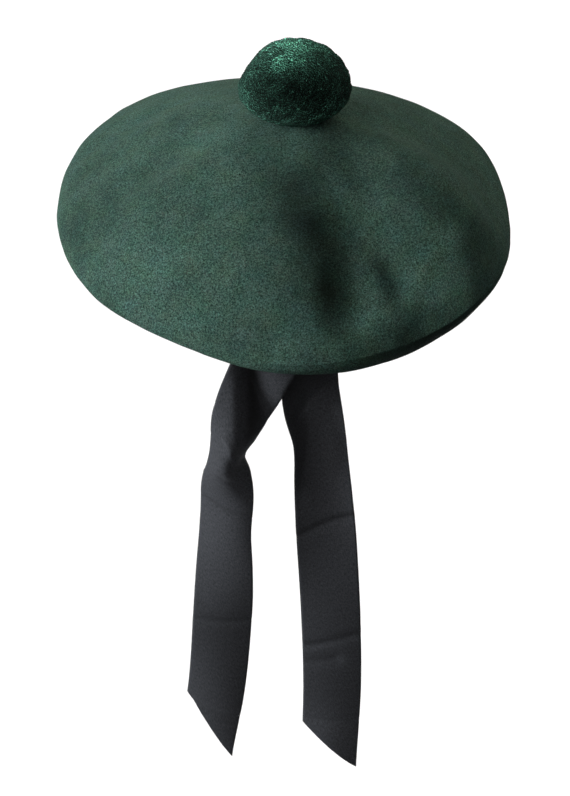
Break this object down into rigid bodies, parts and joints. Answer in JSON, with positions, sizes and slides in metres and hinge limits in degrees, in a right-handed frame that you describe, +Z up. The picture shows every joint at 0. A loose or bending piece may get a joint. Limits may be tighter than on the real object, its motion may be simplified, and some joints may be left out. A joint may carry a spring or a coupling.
{
  "type": "balmoral bonnet",
  "caption": "Wide flat-topped felt bonnet with a turned-in rim, a pompom on top, an upright headband and two ribbon tails hanging at the back.",
  "frame": {"origin": "middle of the headband's lower edge, where the head comes in", "axes": "+Z up towards the pompom, +Y towards the wearer's face, -Y the back where the ribbon tails hang, +X the right of the picture, seen from behind"},
  "size_m": [0.2941, 0.2844, 0.5036],
  "materials": {
    "green_felt": "matt fulled wool felt",
    "band_felt": "matt fulled wool felt",
    "black_ribbon": "dull woven ribbon",
    "green_yarn": "cut wool pile"
  },
  "bodies": {
    "root": {"crown": "green_felt", "headband": "band_felt", "ribbon_band": "black_ribbon", "ribbon_tail_left": "black_ribbon", "ribbon_tail_right": "black_ribbon", "toorie": "green_yarn"}
  },
  "joints": []
}
